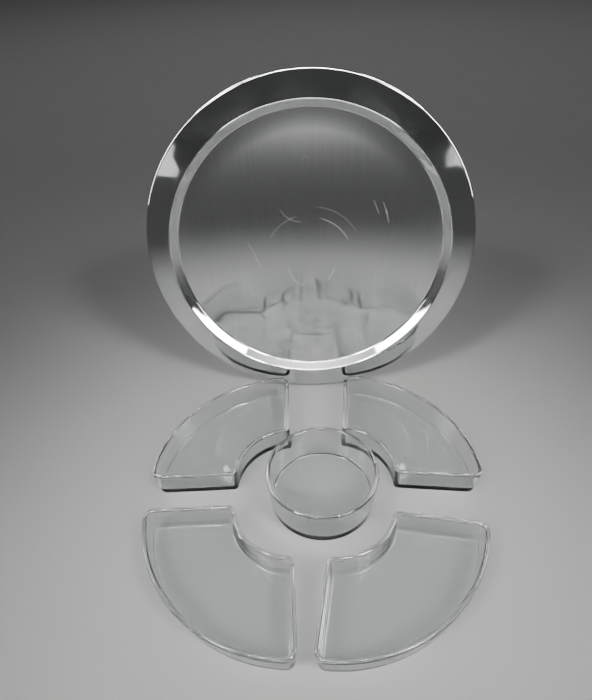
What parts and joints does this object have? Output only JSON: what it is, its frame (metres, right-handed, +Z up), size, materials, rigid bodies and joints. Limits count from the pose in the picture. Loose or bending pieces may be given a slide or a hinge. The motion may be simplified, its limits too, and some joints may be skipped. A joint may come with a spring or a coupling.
{
  "type": "chip and dip server",
  "caption": "Round polished metal tray leaning upright behind a clear glass dip bowl and the quarter-ring glass dishes that fill the tray around it.",
  "frame": {"origin": "centre of the bowl's foot, on the table", "axes": "+Z up from the table, +Y away from the person served towards the leaning tray, +X to that person's right"},
  "size_m": [0.3556, 0.3876, 0.3541],
  "materials": {
    "tray_metal": "mirror-polished flange, lip and rolled edge, finely brushed well floor with light scratches",
    "bowl_glass": "clear, smooth, thick pressed glass with fire-polished rim",
    "dish_glass": "clear, smooth, thick pressed glass with fire-polished rim"
  },
  "bodies": {
    "bowl": {"centre_bowl": "bowl_glass"},
    "tray": {"tray": "tray_metal"},
    "dish_rear_right": {"dish_rear_right": "dish_glass"},
    "dish_rear_left": {"dish_rear_left": "dish_glass"},
    "dish_front_left": {"dish_front_left": "dish_glass"},
    "dish_front_right": {"dish_front_right": "dish_glass"}
  },
  "joints": [
    {"name": "tray_lean", "type": "hinge", "parent": "bowl", "child": "tray", "pos_m": [-0.0097, 0.17402, 0.0087], "axis": [-1, 0, 0], "range_deg": [0, 84.7]},
    {"name": "dish_rear_right_lift", "type": "slide", "parent": "bowl", "child": "dish_rear_right", "axis": [0, 0, 1], "range_m": [0, 0.12]},
    {"name": "dish_rear_left_lift", "type": "slide", "parent": "bowl", "child": "dish_rear_left", "axis": [0, 0, 1], "range_m": [0, 0.12]},
    {"name": "dish_front_left_lift", "type": "slide", "parent": "bowl", "child": "dish_front_left", "axis": [0, 0, 1], "range_m": [0, 0.12]},
    {"name": "dish_front_right_lift", "type": "slide", "parent": "bowl", "child": "dish_front_right", "axis": [0, 0, 1], "range_m": [0, 0.12]}
  ]
}
